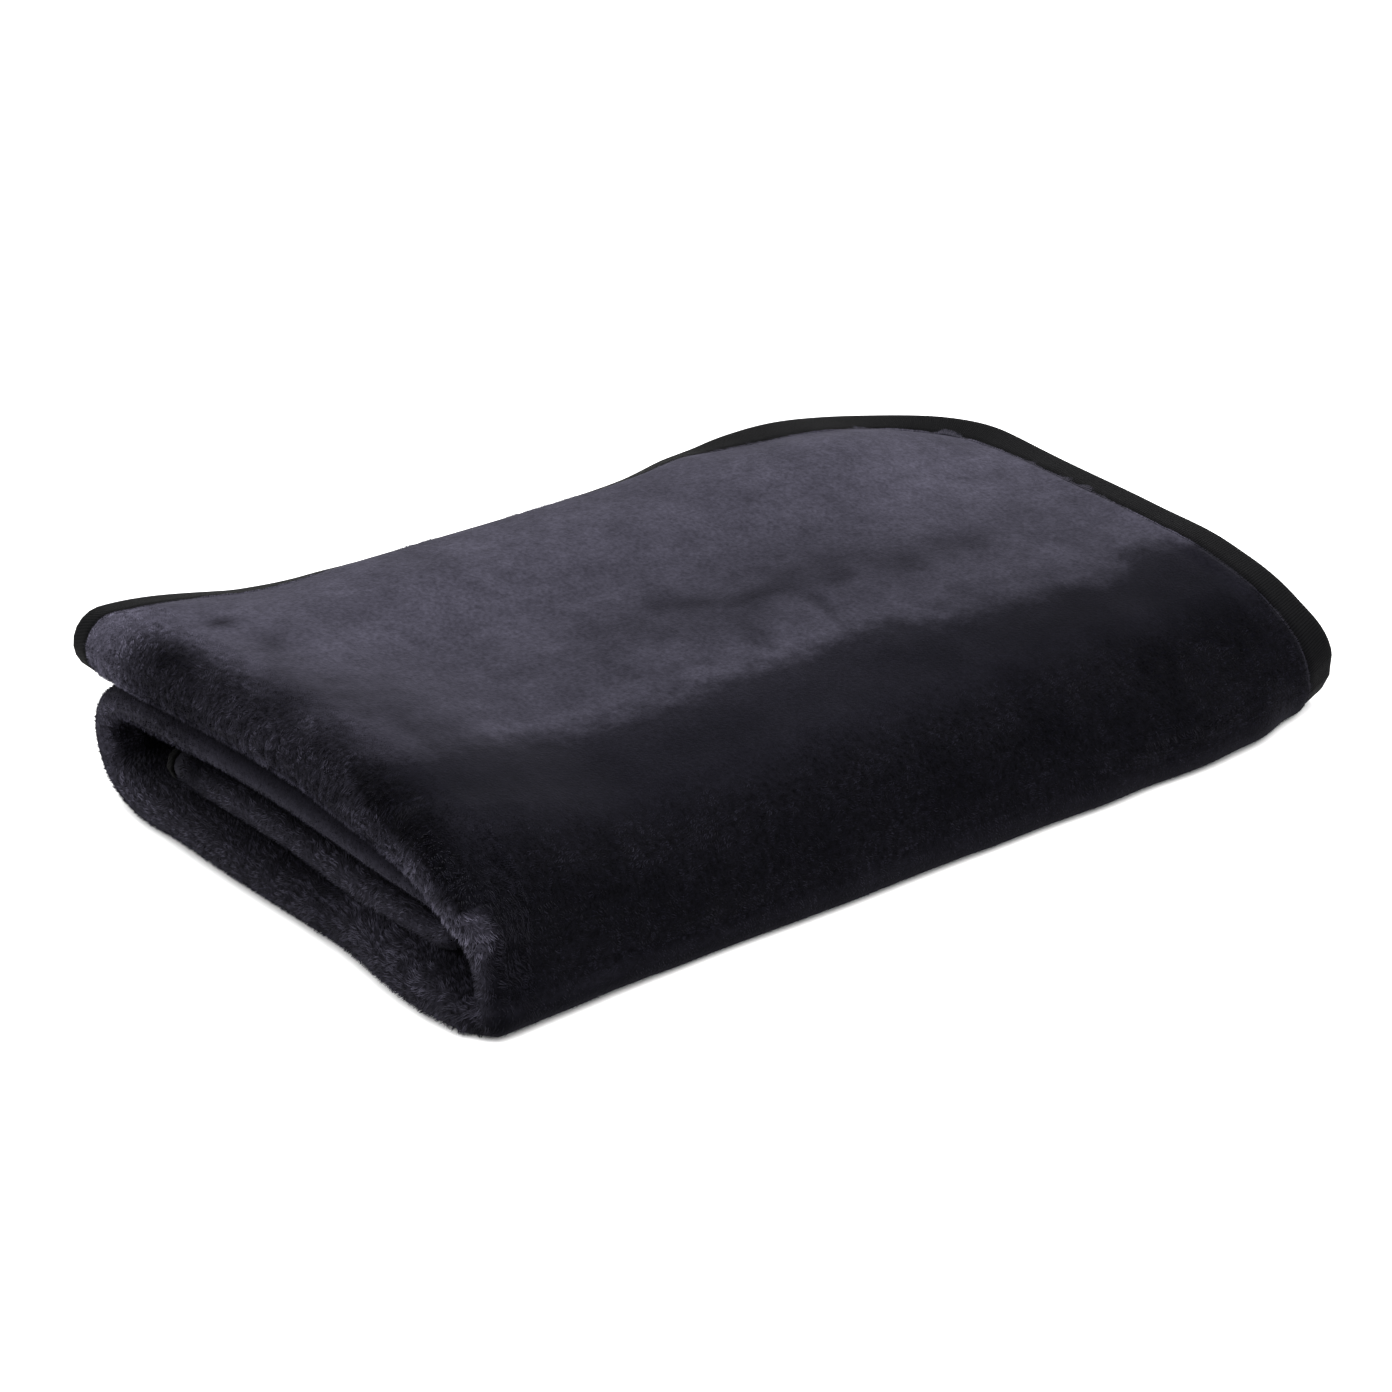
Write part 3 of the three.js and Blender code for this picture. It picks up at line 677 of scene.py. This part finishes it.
# Edge binding
# One length of black woven tape, 25 mm wide, folded in half over the cloth's edge all the way round and sewn
# on. It stays a little wavy, and the pile beside it stands over its inner edge.
tape_around = 1080
corner_points = 31
tape_seat = 13.0
# The tape's small waves: how many there are once round, how far they draw its inner edge in and out, and what
# share of its height they add, each with the distance in at which that begins and is full.
waves_round = (61, 97, 143, 211)
drawn_in = {"far": 0.35, "inset": (0, 12)}
raised_in = {"share": 0.07, "inset": (2, 10)}
# On the flap the tape lies in shade, painted darker into its colour.
flap_shade = {"darker": 0.9, "u": (430, 460), "v": (900, 960)}

# The tape's section, once round: distance in from the cloth's edge, and height over the cloth's middle.
tape_section = (
    (12.6, 2.3), (12.3, 2.75), (9.5, 2.95), (6, 2.8), (2, 2.75), (0.2, 2.5), (-0.9, 1.7), (-1.4, 0.6),
    (-1.4, -0.6), (-0.9, -1.7), (0.2, -2.5), (2, -2.75), (6, -2.8), (9.5, -2.95), (12.3, -2.75), (12.6, -2.3),
    (12.5, -1.65), (-0.2, -1.6), (-0.4, 0), (-0.2, 1.6), (12.5, 1.65),
)

outline = []
for centre_u, centre_v, first in (
    (corner_radius, corner_radius, 180),
    (cloth_length - corner_radius, corner_radius, 270),
    (cloth_length - corner_radius, cloth_width - corner_radius, 0),
    (corner_radius, cloth_width - corner_radius, 90),
):
    for degrees in np.linspace(first, first + 90, corner_points):
        out_u = math.cos(math.radians(degrees))
        out_v = math.sin(math.radians(degrees))
        outline.append((centre_u + corner_radius * out_u, centre_v + corner_radius * out_v, out_u, out_v))
outline.append(outline[0])
outline = np.array(outline)
outline_at = np.concatenate([[0], np.cumsum(np.linalg.norm(np.diff(outline[:, :2], axis=0), axis=1))])


def edge_frames(distance):
    """Along the cloth's edge: a point on it, the way in, the tape's normal and how much wider it shows."""
    u, v, out_u, out_v = (np.interp(distance, outline_at, outline[:, n]) for n in range(4))
    scale = np.hypot(out_u, out_v)
    out_u = out_u / scale
    out_v = out_v / scale
    edge = fold(u, v)
    way_in = (fold(u - out_u * tape_seat, v - out_v * tape_seat) - edge) / tape_seat
    normal = outward(u - out_u * tape_seat / 2, v - out_v * tape_seat / 2)
    return edge, way_in, normal, tape_reach(u, v) / tape_width


binding = bmesh.new()
bmesh.ops.create_grid(binding, x_segments=tape_around, y_segments=len(tape_section), size=0.5)
binding_mesh = bpy.data.meshes.new("edge_binding_tape")
binding.to_mesh(binding_mesh)
flat_points = np.empty(len(binding_mesh.vertices) * 3)
binding_mesh.vertices.foreach_get("co", flat_points)
flat_points = flat_points.reshape(-1, 3)
around = (0.5 + flat_points[:, 0]) * outline_at[-1]
turn = np.round((0.5 + flat_points[:, 1]) * len(tape_section)).astype(int)
closed_section = np.array(tape_section + tape_section[:1], float)
inset = closed_section[turn, 0]
height = closed_section[turn, 1]
phase = around / outline_at[-1] * 2 * math.pi
ripple = sum(np.sin(phase * waves + waves) for waves in waves_round) / len(waves_round)
inset = inset + drawn_in["far"] * ripple * ramp(inset, *drawn_in["inset"])
height = height * (1 + raised_in["share"] * ripple * ramp(inset, *raised_in["inset"]))
edge, way_in, normal, wider = edge_frames(around)
inset = np.where(inset > 0, inset * wider, inset)
tape_points = edge + way_in * inset[:, None] + normal * height[:, None]
binding_mesh.vertices.foreach_set("co", in_place(tape_points).ravel())
section_run = np.concatenate([[0], np.cumsum(np.linalg.norm(np.diff(closed_section, axis=0), axis=1))])
loop_vertices = np.empty(len(binding_mesh.loops), int)
binding_mesh.loops.foreach_get("vertex_index", loop_vertices)
tape_map = np.stack([around, section_run[turn]], axis=-1) * MM
binding_mesh.uv_layers.new(name="along").data.foreach_set("uv", tape_map[loop_vertices].ravel())
edge_u, edge_v = (np.interp(around, outline_at, outline[:, n]) for n in range(2))
# The tape's colour takes painted shade on the flap.
tape_unshaded = 1 - flap_shade["darker"] * ramp(edge_u, *flap_shade["u"]) * ramp(edge_v, *flap_shade["v"])
binding_mesh.attributes.new("tape_unshaded", "FLOAT", "POINT").data.foreach_set("value", tape_unshaded)
binding.clear()
binding.from_mesh(binding_mesh)
bmesh.ops.remove_doubles(binding, verts=binding.verts[:], dist=0.00001)
bmesh.ops.recalc_face_normals(binding, faces=binding.faces[:])
for face in binding.faces:
    face.smooth = True
binding.to_mesh(binding_mesh)
binding.free()
tape = bpy.data.objects.new("edge_binding_tape", binding_mesh)
bpy.context.scene.collection.objects.link(tape)

twill = bpy.data.materials.new("black_twill")
twill.use_nodes = True
nodes = twill.node_tree.nodes
links = twill.node_tree.links
shader = nodes["Principled BSDF"]
shader.inputs["Roughness"].default_value = 0.7
shader.inputs["Specular IOR Level"].default_value = 0.012
shader.inputs["Sheen Weight"].default_value = 0.012
shader.inputs["Sheen Roughness"].default_value = 0.5
along = nodes.new("ShaderNodeUVMap")
along.uv_map = "along"
ribs = nodes.new("ShaderNodeTexWave")
ribs.wave_type = "BANDS"
ribs.bands_direction = "X"
ribs.inputs["Scale"].default_value = 260
ribs.inputs["Distortion"].default_value = 1.2
ribs.inputs["Detail"].default_value = 2
ribs.inputs["Detail Scale"].default_value = 900
slanted = nodes.new("ShaderNodeMapping")
slanted.inputs["Rotation"].default_value = (0, 0, math.radians(14))
links.new(along.outputs["UV"], slanted.inputs["Vector"])
links.new(slanted.outputs["Vector"], ribs.inputs["Vector"])
tape_shade = nodes.new("ShaderNodeMix")
tape_shade.data_type = "RGBA"
tape_shade.inputs["A"].default_value = (0.0005, 0.0005, 0.0007, 1)
tape_shade.inputs["B"].default_value = (0.0025, 0.0025, 0.0029, 1)
links.new(ribs.outputs["Fac"], tape_shade.inputs["Factor"])
in_shade = nodes.new("ShaderNodeAttribute")
in_shade.attribute_name = "tape_unshaded"
tape_dimmed = nodes.new("ShaderNodeVectorMath")
tape_dimmed.operation = "SCALE"
links.new(tape_shade.outputs["Result"], tape_dimmed.inputs[0])
links.new(in_shade.outputs["Fac"], tape_dimmed.inputs["Scale"])
links.new(tape_dimmed.outputs["Vector"], shader.inputs["Base Color"])
tape_relief = nodes.new("ShaderNodeBump")
tape_relief.inputs["Strength"].default_value = 0.6
tape_relief.inputs["Distance"].default_value = 0.0004
links.new(ribs.outputs["Fac"], tape_relief.inputs["Height"])
links.new(tape_relief.outputs["Normal"], shader.inputs["Normal"])
binding_mesh.materials.append(twill)
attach(tape, "root")
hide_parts("edge_binding")

# Pile
# The fleece's brushed fibres, as closed tapering tufts that stand on the outer face. They lie nearly flat
# where the nap is stroked down, and stand up and part in small locks round the folded end and on the front.
# Before they are planted, the tufts stand in rows this far apart.
row_gap = 2
root_depth = 0.6
# What share of its length and width a tuft may have, and of its length where the nap is stroked flat.
tuft_lengths = (0.7, 1.25)
tuft_widths = (0.7, 1.3)
flat_length = 0.3
# A tuft's heading sways softly, by so many radians over so many millimetres, and then a little by chance.
heading_sways = ((0.9, 21), (1.3, 5.5))
heading_chance = 0.2
# How light a tuft is goes mostly by its lock, and a power over 1 leaves fewer locks light. A lock's middle
# lies between two shares of its cell.
lock_share = 0.75
lock_power = 1.3
lock_middle = (0.1, 0.9)


def lawn(name, rows, columns):
    """A flat lawn of tufts, each one unit high, as one mesh."""
    seedling = bmesh.new()
    bmesh.ops.create_cone(
        seedling,
        cap_ends=True,
        segments=3,
        radius1=0.5,
        radius2=0,
        depth=1,
        matrix=Matrix.Translation((0, 0, 0.5)),
    )
    bmesh.ops.remove_doubles(seedling, verts=seedling.verts[:], dist=0.001)
    mesh = bpy.data.meshes.new(name)
    seedling.to_mesh(mesh)
    seedling.free()
    piece = bpy.data.objects.new(name, mesh)
    bpy.context.scene.collection.objects.link(piece)
    for step, count in (((row_gap, 0, 0), columns), ((0, row_gap, 0), rows)):
        repeated = piece.modifiers.new("repeated", "ARRAY")
        repeated.use_relative_offset = False
        repeated.use_constant_offset = True
        repeated.constant_offset_displace = step
        repeated.count = count
    grown = bpy.data.meshes.new_from_object(piece.evaluated_get(bpy.context.evaluated_depsgraph_get()))
    grown.name = name
    piece.modifiers.clear()
    piece.data = grown
    bpy.data.meshes.remove(mesh)
    return piece


def pile_face(u, v, above):
    """A point over the outer face."""
    stands_out = half_thickness(edge_inset(u, v) - tape_reach(u, v)) + unevenness(u, v) + above
    return fold(u, v) + outward(u, v) * stands_out[..., None]


def spread(rows, columns, reach_u, reach_v, seed):
    """Random places for a lawn between two u and two v, and none outside the rounded edge."""
    jitter = np.random.default_rng(seed).uniform(0, 1, (2, rows, columns))
    u = reach_u[0] + (reach_u[1] - reach_u[0]) * (np.arange(rows)[:, None] + jitter[0]) / rows
    v = reach_v[0] + (reach_v[1] - reach_v[0]) * (np.arange(columns)[None, :] + jitter[1]) / columns
    return rounded(u, v)[:2]


def brush(u, v, length, lean, heading, lock, gather, contrast, seed):
    """Where each tuft's tip lies: leaning one way, and drawn together into small locks."""
    chance = np.random.default_rng(seed)
    cell_u = (u / lock).astype(int)
    cell_v = (v / lock).astype(int)
    middle = chance.uniform(*lock_middle, (2, cell_u.max() + 1, cell_v.max() + 1))
    to_lock_u = (cell_u + middle[0][cell_u, cell_v]) * lock - u
    to_lock_v = (cell_v + middle[1][cell_u, cell_v]) * lock - v
    stands = standing(u, v)
    tall = length * chance.uniform(*tuft_lengths, u.shape) * (flat_length + (1 - flat_length) * stands)
    way = math.radians(heading)
    for n, (sway, size) in enumerate(heading_sways, 1):
        way = way + sway * soft_noise(u, v, size, seed + n)
    way = way + chance.normal(0, heading_chance, u.shape)
    tip_u = u + to_lock_u * gather * stands + tall * lean * np.cos(way)
    tip_v = v + to_lock_v * gather * stands + tall * lean * np.sin(way)
    of_lock = chance.uniform(0, 1, middle[0].shape)[cell_u, cell_v]
    lot = lock_share * of_lock**lock_power + (1 - lock_share) * chance.uniform(0, 1, u.shape)
    return tip_u, tip_v, tall * math.sqrt(1 - lean * lean), 0.5 + (lot - 0.5) * contrast


def grow(name, u, v, tip_u, tip_v, rise, lot, wide, seed):
    """Plants a lawn with its roots and tips at the given places."""
    rows, columns = u.shape
    piece = lawn(name, rows, columns)
    mesh = piece.data
    chance = np.random.default_rng(seed)
    points = np.empty(len(mesh.vertices) * 3)
    mesh.vertices.foreach_get("co", points)
    points = points.reshape(rows, columns, -1, 3)
    points[..., 0] -= row_gap * np.arange(columns)[None, :, None]
    points[..., 1] -= row_gap * np.arange(rows)[:, None, None]
    root = pile_face(u, v, -root_depth)
    stem = pile_face(tip_u, tip_v, rise) - root
    step = 0.5
    along_u = fold(u + step, v) - fold(u - step, v)
    along_u /= np.linalg.norm(along_u, axis=-1, keepdims=True)
    along_v = np.cross(outward(u, v), along_u)
    thick = wide * chance.uniform(*tuft_widths, u.shape)[..., None, None]
    tufts = root[..., None, :] + stem[..., None, :] * points[..., 2:3]
    tufts = tufts + along_v[..., None, :] * points[..., 0:1] * thick
    tufts = tufts - along_u[..., None, :] * points[..., 1:2] * thick
    mesh.vertices.foreach_set("co", in_place(tufts).ravel())
    each = (1, 1, points.shape[2])
    for label, values in (
        ("nap_light_and_shade", np.tile(nap_light_and_shade(u, v)[..., None], each)),
        ("stroke_and_sheen", np.tile(stroke_and_sheen(u, v)[..., None], each)),
        ("lot", np.tile(lot[..., None], each)),
        ("tip", points[..., 2]),
    ):
        mesh.attributes.new(label, "FLOAT", "POINT").data.foreach_set("value", values.ravel())
    mesh.polygons.foreach_set("use_smooth", [True] * len(mesh.polygons))
    mesh.materials.append(fibre)
    mesh.update()
    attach(piece, "root")
    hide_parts("fleece_cloth")


fibre = bpy.data.materials.new("pile_fibre")
fibre.use_nodes = True
nodes = fibre.node_tree.nodes
links = fibre.node_tree.links
shader = nodes["Principled BSDF"]
shader.inputs["Roughness"].default_value = 0.8
shader.inputs["Specular IOR Level"].default_value = 0.02
shader.inputs["Sheen Weight"].default_value = 0.03
shader.inputs["Sheen Roughness"].default_value = 0.4
shader.inputs["Sheen Tint"].default_value = violet_sheen
readings = {}
for label in ("nap_light_and_shade", "stroke_and_sheen", "lot", "tip"):
    readings[label] = nodes.new("ShaderNodeAttribute")
    readings[label].attribute_name = label
# The tufts take the same painted light and shade as the cloth.
coloured = nodes.new("ShaderNodeGroup")
coloured.node_tree = nap_light_colour
links.new(readings["nap_light_and_shade"].outputs["Fac"], coloured.inputs["Nap_light_and_shade"])
links.new(readings["stroke_and_sheen"].outputs["Fac"], coloured.inputs["Stroke_and_sheen"])
uneven = nodes.new("ShaderNodeMapRange")
uneven.inputs["To Min"].default_value = 0.12
uneven.inputs["To Max"].default_value = 2.4
links.new(readings["lot"].outputs["Fac"], uneven.inputs["Value"])
# Each tuft is painted shaded at its root and lit at its tip.
root_shade_tip_light = nodes.new("ShaderNodeMapRange")
root_shade_tip_light.inputs["To Min"].default_value = 0.1
root_shade_tip_light.inputs["To Max"].default_value = 1.9
links.new(readings["tip"].outputs["Fac"], root_shade_tip_light.inputs["Value"])
strength = nodes.new("ShaderNodeMath")
strength.operation = "MULTIPLY"
links.new(uneven.outputs["Result"], strength.inputs[0])
links.new(root_shade_tip_light.outputs["Result"], strength.inputs[1])
tinted = nodes.new("ShaderNodeVectorMath")
tinted.operation = "SCALE"
links.new(coloured.outputs["Color"], tinted.inputs[0])
links.new(strength.outputs[0], tinted.inputs["Scale"])
links.new(tinted.outputs["Vector"], shader.inputs["Base Color"])

# Each lawn's rows and columns, which serve as seeds too, where it begins and ends in u and in v, and its
# tufts' width. Then come their length, lean and heading, the size of their locks, how far they gather in
# them and how much they differ in light.
for name, rows, columns, reach_u, reach_v, wide, brushed in (
    ("pile_front", 330, 146, (17, 472), (238, 316), 0.6, (1.3, 0.7, 150, 2.4, 0.5, 1.4)),
    ("pile_folded_end", 130, 368, (464, 540), (12, 420), 0.55, (2.5, 0.75, 75, 2.7, 0.6, 1)),
    ("pile_inner_folds", 100, 484, (470, 534), (420, 1003), 0.6, (2.0, 0.72, 75, 2.5, 0.65, 1)),
):
    u, v = spread(rows, columns, reach_u, reach_v, rows)
    grow(name, u, v, *brush(u, v, *brushed, columns), wide, rows)

# Three last rows of pile beside the binding stand over its inner edge in uneven wisps, up the far end and
# along the back. They run from one distance round the edge to another, and so far in from the binding.
lip_from = -270
lip_to = 540
lip_tufts = 3000
lip_rows = np.array([[0.4], [1.2], [2.2]])
lip_strays = 0.3
# How far the tips reach over, with soft sways of so many millimetres, their size and seed, and how high.
lip_over = 2.2
lip_sways = ((3.0, 34, 9), (1.2, 6, 10))
lip_repeat = 1000
lip_rise = 0.9
lip_rise_share = 0.3
lip_lot = (0.2, 0.75)
lip_width = 0.8
strayed = np.random.default_rng(8).uniform(-lip_strays, lip_strays, (len(lip_rows), lip_tufts))
path = np.linspace(lip_from, lip_to, lip_tufts)[None, :] + strayed
u, v, out_u, out_v = (np.interp(path % outline_at[-1], outline_at, outline[:, n]) for n in range(4))
in_by = tape_reach(u, v) + lip_rows
slant_u = (u + v) % lip_repeat
slant_v = (u - v) % lip_repeat
over = lip_over + sum(sway * soft_noise(slant_u, slant_v, size, seed) for sway, size, seed in lip_sways)
grow(
    "pile_lip",
    u - out_u * in_by,
    v - out_v * in_by,
    u - out_u * (in_by - over),
    v - out_v * (in_by - over),
    lip_rise + lip_rise_share * over,
    np.random.default_rng(13).uniform(*lip_lot, u.shape),
    lip_width,
    12,
)

# Studio
# The blanket lies on a plain white table in bright light from all round, with two large soft lights over its
# folded end and its long front, so that it casts only a narrow shadow.
table = bmesh.new()
bmesh.ops.create_grid(table, x_segments=1, y_segments=1, size=8)
table_mesh = bpy.data.meshes.new("table")
table.to_mesh(table_mesh)
table.free()
table_top = bpy.data.objects.new("table", table_mesh)
bpy.context.scene.collection.objects.link(table_top)
white = bpy.data.materials.new("white_table")
white.use_nodes = True
shader = white.node_tree.nodes["Principled BSDF"]
shader.inputs["Base Color"].default_value = (0.80, 0.80, 0.80, 1)
shader.inputs["Roughness"].default_value = 1
shader.inputs["Specular IOR Level"].default_value = 0
table_mesh.materials.append(white)

for name, place in (("right_light", (0.4, -1.0, 1.9)), ("left_light", (-1.2, -0.1, 1.8))):
    lamp = bpy.data.lights.new(name, "AREA")
    lamp.shape = "RECTANGLE"
    lamp.size = 1.8
    lamp.size_y = 1.4
    lamp.energy = 38
    light = bpy.data.objects.new(name, lamp)
    light.location = place
    light.rotation_euler = (-Vector(place)).to_track_quat("-Z", "Y").to_euler()
    bpy.context.scene.collection.objects.link(light)

world = bpy.data.worlds.new("studio")
world.use_nodes = True
world.node_tree.nodes["Background"].inputs["Color"].default_value = (1, 1, 1, 1)
world.node_tree.nodes["Background"].inputs["Strength"].default_value = 1.9
bpy.context.scene.world = world
bpy.context.scene.view_settings.view_transform = "Standard"
